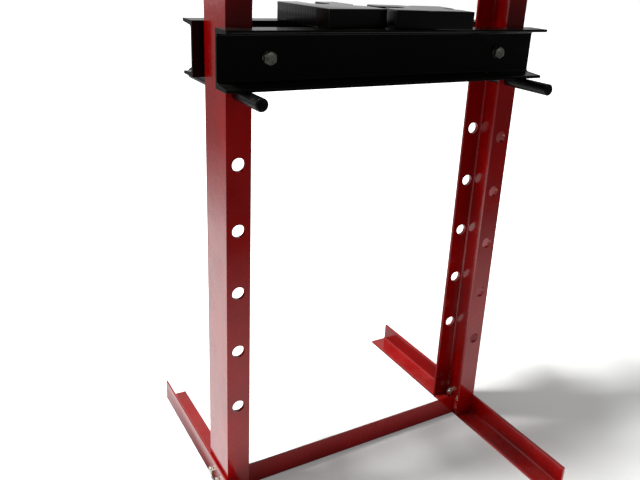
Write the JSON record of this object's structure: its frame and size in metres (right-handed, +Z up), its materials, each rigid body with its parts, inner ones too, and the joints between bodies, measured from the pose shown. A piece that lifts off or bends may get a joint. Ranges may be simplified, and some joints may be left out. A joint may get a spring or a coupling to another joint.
{
  "type": "hydraulic shop press",
  "caption": "Floor-standing H-frame shop press with channel-steel uprights, a bed on pins with loose heel plates, and a spring-returned hand-pumped bottle jack.",
  "frame": {"origin": "on the floor, midway between the uprights' webs and on their centre line", "axes": "+X to the right seen from the front, +Y towards the back, +Z up; the pump handle points to -Y"},
  "size_m": [0.707, 0.8208, 1.5969],
  "materials": {
    "red_paint": "glossy red paint over rolled steel",
    "black_paint": "glossy black paint",
    "zinc": "bright zinc plating",
    "bare_steel": "ground bare steel",
    "rubber": "matt black rubber"
  },
  "bodies": {
    "frame": {"upright_left": "red_paint", "upright_right": "red_paint", "foot_left": "red_paint", "foot_right": "red_paint", "lower_crossbar": "red_paint", "foot_bolts": "zinc", "foot_washers": "zinc", "foot_nuts": "zinc", "head_channel_front": "red_paint", "head_channel_rear": "red_paint", "head_bolts": "zinc", "head_washers": "zinc", "head_nuts": "zinc", "thrust_plate": "red_paint", "upper_eyebolts": "zinc", "upper_eyebolt_nuts": "zinc", "return_spring_left": "bare_steel", "return_spring_right": "bare_steel", "jack_ram": "bare_steel", "ram_seal": "rubber"},
    "press_unit": {"lower_eyebolts": "zinc", "lower_eyebolt_nuts": "zinc", "press_plate": "red_paint", "press_ram_nose": "bare_steel", "jack_base": "black_paint", "jack_tank": "black_paint", "jack_cylinder": "bare_steel", "jack_top_cap": "black_paint", "rod_wiper": "rubber", "jack_bolts": "zinc", "filler_plug": "rubber", "pump_cylinder": "bare_steel", "fulcrum_links": "black_paint", "fulcrum_pin": "zinc"},
    "lever": {"handle_socket": "black_paint", "piston_pin": "zinc"},
    "plunger": {"pump_piston": "bare_steel"},
    "handle": {"pump_handle": "zinc", "handle_grip": "rubber"},
    "valve": {"release_valve": "zinc"},
    "bed": {"bed_channel_front": "black_paint", "bed_channel_rear": "black_paint", "bed_spacer_tubes": "black_paint", "bed_bolts": "zinc", "bed_washers": "zinc", "bed_nuts": "zinc"},
    "pin_left": {"bed_pin_left": "black_paint"},
    "pin_right": {"bed_pin_right": "black_paint"},
    "plate_left": {"heel_plate_left": "black_paint"},
    "plate_right": {"heel_plate_right": "black_paint"}
  },
  "joints": [
    {"name": "press_stroke", "type": "slide", "parent": "frame", "child": "press_unit", "axis": [0, 0, -1], "range_m": [0, 0.14], "stiffness_N_per_m": 1400, "springref_m": -0.16, "deforming": ["return_spring_left", "return_spring_right"]},
    {"name": "pump_lever", "type": "hinge", "parent": "press_unit", "child": "lever", "pos_m": [0, -0.058, 1.34685], "axis": [1, 0, 0], "range_deg": [0, 45]},
    {"name": "pump_plunger", "type": "slide", "parent": "press_unit", "child": "plunger", "axis": [0, 0, -1], "range_m": [0, 0.02]},
    {"name": "handle_pull", "type": "slide", "parent": "lever", "child": "handle", "axis": [0, -0.866, 0.5], "range_m": [0, 0.069]},
    {"name": "release_valve", "type": "hinge", "parent": "press_unit", "child": "valve", "pos_m": [0.027, -0.108, 1.25485], "axis": [0, -1, 0], "range_deg": [0, 360]},
    {"name": "bed_lift", "type": "slide", "parent": "frame", "child": "bed", "axis": [0, 0, 1], "range_m": [0, 0.04]},
    {"name": "pin_left_pull", "type": "slide", "parent": "frame", "child": "pin_left", "axis": [0, -1, 0], "range_m": [0, 0.24]},
    {"name": "pin_right_pull", "type": "slide", "parent": "frame", "child": "pin_right", "axis": [0, -1, 0], "range_m": [0, 0.218]},
    {"name": "plate_left_slide", "type": "slide", "parent": "bed", "child": "plate_left", "axis": [-1, 0, 0], "range_m": [0, 0.09]},
    {"name": "plate_right_slide", "type": "slide", "parent": "bed", "child": "plate_right", "axis": [1, 0, 0], "range_m": [0, 0.09]}
  ],
  "couplings": [
    {"joint": "pump_plunger", "follows": "pump_lever", "m_per_rad": 0.0251}
  ]
}
